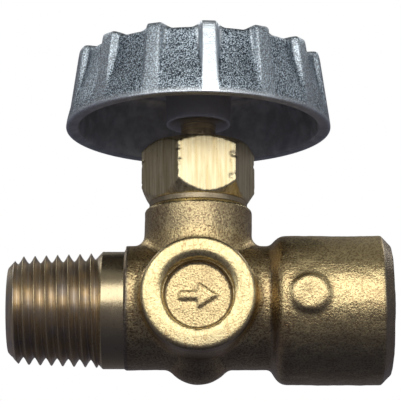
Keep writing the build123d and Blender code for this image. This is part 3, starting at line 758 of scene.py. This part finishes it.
def hollow_shade_and_dirt_mask(skin, machined, flare):
    """1 in the forging's inner corners, where dirt stays and where shade is painted; weak on the flare and
    round the button.
    """
    bend = ((skin.averaged_points() - skin.points) * skin.normals).sum(axis=1) / skin.voxel
    for _ in range(3):
        bend = skin.averaged(bend)
    hollow_shade_and_dirt = smoothstep(0.03, 0.16, bend) * (1 - machined)
    at_button = (skin.about_button < 3.2) & (skin.y < -8.5)
    return hollow_shade_and_dirt * np.where(flare, 0.1, 1) * np.where(at_button, 0.3, 1)


def grey_and_painted_shade_mask(skin):
    """Up to 1 where the brass is painted greyer and darker: painted shade low down, on the flare and on the
    recess wall, and grey at the socket's mouth, by the shank, round the boss's outer edge and at the neck's
    top.
    """
    forging_start = body_low.x + THREAD_LENGTH + SHANK_LENGTH
    flare = stem_x + BARREL_END
    mouth = smoothstep(body_high.x - 1.45, body_high.x - 1.2, skin.x)
    left_end = fade_out(forging_start, forging_start + 0.5, skin.x)
    # Painted shade: darker, greyer brass towards the bottom.
    underside = smoothstep(3, 8, -skin.z) * 0.6
    boss_edge = smoothstep(6.5, 7.0, skin.about_boss) * (skin.about_boss < 7.6) * (skin.y < -9.2) * 0.85
    neck = smoothstep(6.0, 6.9, np.hypot(skin.x - stem_x, skin.y)) * smoothstep(8.5, 10, skin.z) * 0.35
    # Painted shade on the flare from barrel to socket.
    at_flare = smoothstep(flare, flare + 0.4, skin.x) * fade_out(flare + 0.9, flare + 1.7, skin.x) * 0.85
    # Painted shade on the recess's wall.
    on_wall = (skin.about_boss > 3.95) & (skin.about_boss < 4.5) & (skin.y < -8) & (skin.y > BOSS_FACE + 0.6)
    return np.maximum.reduce([mouth, left_end, underside, boss_edge, neck, at_flare, on_wall * 0.7])


def skin_relief(skin, machined, worn, socket):
    """How far each point stands out, for a skin that is softly uneven except where it is machined."""
    broad_grain, broad_depth = 3.4, 0.055
    local_grain, local_depth = 0.9, 0.022
    elsewhere = Vector((7, 3, 5))
    relief = np.empty(len(skin.points))
    for k, p in enumerate(skin.points):
        broad = noise.noise(Vector(p) / broad_grain)
        local = noise.noise(Vector(p) / local_grain + elsewhere)
        relief[k] = broad_depth * broad + local_depth * local
    return relief * (1 - machined) * np.where(socket > 0, 1 + 1.2 * socket, 1 - 0.7 * worn)


def cut_off_below(mesh, x):
    """Cuts away what lies below that x, in millimetres."""
    work = bmesh.new()
    work.from_mesh(mesh)
    geometry = work.verts[:] + work.edges[:] + work.faces[:]
    bmesh.ops.bisect_plane(work, geom=geometry, plane_co=(x * MM, 0, 0), plane_no=(1, 0, 0), clear_inner=True)
    work.to_mesh(mesh)
    work.free()


def make_forging():
    """The body without its turned end: soft, slightly uneven, with masks for its finish."""
    shank_inside = 0.25  # how far the turned end's shank reaches into the forging
    skin = Skin()
    square_boss_corner(skin)
    round_recess(skin)
    flare = curve_flare(skin)
    machined = machined_mask(skin)
    socket = smoothstep(stem_x + 10.6, stem_x + 12, skin.x) * 0.4
    worn = worn_mask(skin, socket)
    by_button = (skin.about_button > 1.5) & (skin.about_button < 3.2) & (skin.y < -8)
    skin.smooth(flare, 4)
    skin.smooth(by_button, 6)
    masks = {
        "machined": machined,
        "worn": worn,
        # The hollow mask carries dirt and painted shade; the grey mask carries painted shade and greying.
        "hollow_shade_and_dirt": hollow_shade_and_dirt_mask(skin, machined, flare),
        "pitted": np.clip((12.0 - skin.x) / 2.6, 0, 1) * (1 - machined),
        "grey_and_painted_shade": grey_and_painted_shade_mask(skin),
    }
    points = skin.points + skin.normals * skin_relief(skin, machined, worn, socket)[:, None]
    mesh = skin.mesh
    mesh.vertices.foreach_set("co", (points * MM).ravel())
    for name, values in masks.items():
        set_attribute(mesh, name, values)
    cut_off_below(mesh, body_low.x + THREAD_LENGTH + (SHANK_LENGTH - shank_inside))
    mesh.materials.clear()
    return mesh


# ---- bonnet -----------------------------------------------------------------------------------
def make_bonnet():
    """The hexagon bonnet with the dents that a spanner leaves near its corners."""
    voxel = 0.14
    dents_per_corner = 7
    front_flat = -90 + 10  # degrees; it faces a little to the right of the photograph's camera
    corner_r = (bonnet_high.x - bonnet_low.x) / 2
    mesh = remeshed(nodes["bonnet"].data, voxel)
    points = read_vectors(mesh, "co")
    normals = read_vectors(mesh, "normal")
    random = np.random.default_rng(seed=7)
    for corner in range(6):
        for _ in range(dents_per_corner):
            angle = math.radians(front_flat + 30 + 60 * corner + random.normal(0, 2.6))
            reach = corner_r * (1 - abs(random.normal(0, 0.03)))
            height = random.uniform(bonnet_high.z - 6.2, bonnet_high.z - 1.6)
            centre = np.array((stem_x + reach * math.cos(angle), reach * math.sin(angle), height))
            size = random.uniform(0.25, 0.65)
            depth = random.uniform(0.06, 0.14)
            near = np.clip(1 - ((points - centre) ** 2).sum(axis=1) / size ** 2, 0, 1)
            points -= normals * (depth * near ** 2)[:, None]
    mesh.vertices.foreach_set("co", (points * MM).ravel())
    mesh.materials.clear()
    return mesh


# ---- assembly ---------------------------------------------------------------------------------
def paint_node(name, material):
    """Gives a CAD node that stays in sight its finish."""
    mesh = nodes[name].data
    mesh.materials.clear()
    mesh.materials.append(material)


def add_pieces():
    """The four pieces that stand for the body, the handwheel and the bonnet."""
    turned = turned_brass("turned_brass", "X", tarnish=0.55)
    zinc = cast_zinc()
    add_piece("forged_body", make_forging(), "body", forged_brass(), ["valve_body"])
    add_piece("threaded_end", make_threaded_end(), "body", turned)
    add_piece("handwheel_casting", make_wheel(), "handwheel_and_stem", zinc, ["handwheel"])
    add_piece("hex_bonnet", make_bonnet(), "body", milled_brass(), ["bonnet"])


def paint_nodes():
    """The finish of every CAD node that keeps its own shape."""
    gasket = plain_metal("gasket_aluminium", (0.55, 0.45, 0.30), 0.46, grain_mm=0.22, depth_mm=0.05)
    # Painted light: the stem's brass is less tarnished, so brighter, for the light that reaches it under the
    # wheel.
    brass = turned_brass("stem_brass_painted_light", "Z", tarnish=0.12)
    steel = plain_metal("spring_steel", (0.40, 0.40, 0.42), 0.38)
    plated = plain_metal("plated_steel", (0.66, 0.66, 0.68), 0.28)
    rubber = seal_rubber()
    finishes = {
        "bonnet_gasket": gasket, "upper_stem": brass, "lower_stem": brass, "thrust_washer": brass,
        "stem_retaining_ring": steel, "lock_washer": steel, "handwheel_screw": plated,
        "seat_disc": rubber, "stem_oring_lower": rubber, "stem_oring_upper": rubber,
    }
    for name, material in finishes.items():
        paint_node(name, material)


add_camera()
add_world()
add_floor()
add_lights()
add_pieces()
paint_nodes()

view = bpy.context.scene.view_settings
view.view_transform = "Standard"
view.look = "None"
